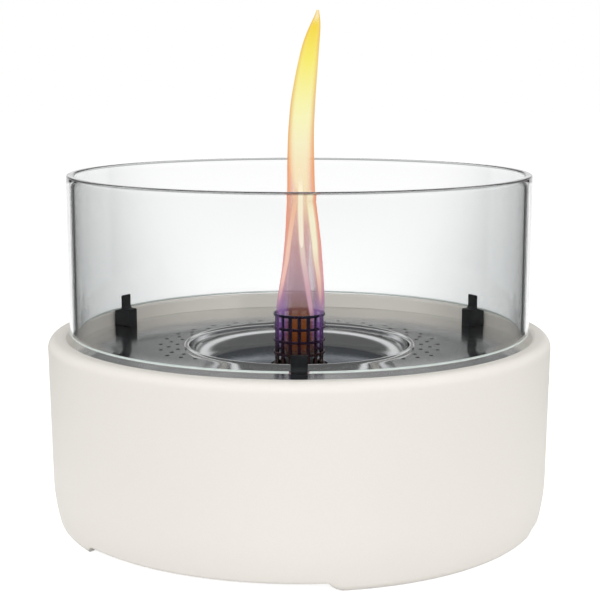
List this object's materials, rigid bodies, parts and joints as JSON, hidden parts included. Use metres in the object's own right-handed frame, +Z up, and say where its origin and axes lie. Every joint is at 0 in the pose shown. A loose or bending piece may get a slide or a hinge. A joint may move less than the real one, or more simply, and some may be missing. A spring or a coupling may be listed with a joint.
{
  "type": "tabletop fire bowl",
  "caption": "Round cream bowl on low feet with a pierced steel top plate, a wick burner in a sunk pan and a clear glass cylinder on black clips.",
  "frame": {"origin": "centre of the foot plane, on the table", "axes": "+Z up along the axis of the bowl, -Y to the front, where one clip stands"},
  "size_m": [0.25, 0.25, 0.1735],
  "materials": {
    "cream_ceramic": "matte cream, finely grained",
    "tinned_steel": "bright tinned sheet",
    "gasket_rubber": "matte",
    "burner_steel": "turned",
    "wick_fibre": "braided fibre, charred at the top",
    "burnt_steel": "dark, heat blued",
    "plate_steel": "polished",
    "pan_steel": "polished, drawn",
    "black_silicone": "satin black",
    "screw_steel": "satin",
    "smoked_glass": "clear, lightly smoked, ground edges"
  },
  "bodies": {
    "bowl": {"bowl": "cream_ceramic"},
    "can": {"can_body": "tinned_steel", "can_top": "tinned_steel", "can_neck": "tinned_steel"},
    "burner": {"neck_gasket": "gasket_rubber", "burner_cap": "burner_steel", "wick_tube": "burner_steel", "wick": "wick_fibre", "cage_collar": "burner_steel", "cage_rings": "burnt_steel", "cage_bars": "burnt_steel"},
    "plate": {"top_plate": "plate_steel", "burner_pan": "pan_steel", "clip_front": "black_silicone", "clip_right": "black_silicone", "clip_left": "black_silicone", "clip_screws": "screw_steel", "clip_washers": "screw_steel"},
    "glass": {"glass_cylinder": "smoked_glass"}
  },
  "joints": [
    {"name": "can_lift", "type": "slide", "parent": "bowl", "child": "can", "axis": [0, 0, 1], "range_m": [0, 0.1]},
    {"name": "burner_lift", "type": "slide", "parent": "can", "child": "burner", "axis": [0, 0, 1], "range_m": [0, 0.07]},
    {"name": "plate_lift", "type": "slide", "parent": "burner", "child": "plate", "axis": [0, 0, 1], "range_m": [0, 0.05]},
    {"name": "glass_lift", "type": "slide", "parent": "plate", "child": "glass", "axis": [0, 0, 1], "range_m": [0, 0.09]}
  ]
}
